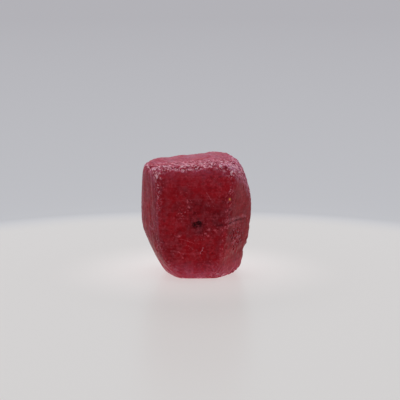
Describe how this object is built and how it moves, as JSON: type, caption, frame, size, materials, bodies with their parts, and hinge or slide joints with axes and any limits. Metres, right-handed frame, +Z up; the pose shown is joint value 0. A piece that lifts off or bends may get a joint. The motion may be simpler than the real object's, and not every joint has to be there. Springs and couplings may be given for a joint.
{
  "type": "raw ruby crystal",
  "caption": "Uncut ruby crystal: a short, water-worn, six-sided barrel with a flat, frosted top, a flaked lower flank and a broken base that it stands on",
  "frame": {"origin": "on the surface that the crystal stands on, under the middle of its bounding box", "axes": "+Z is up, along the crystal's length; the broadest prism face looks along -Y; +X is to the right seen from that side"},
  "size_m": [0.012, 0.0098, 0.0128],
  "materials": {
    "ruby": "frosted, water-worn"
  },
  "bodies": {
    "root": {"ruby_crystal": "ruby"}
  },
  "joints": []
}
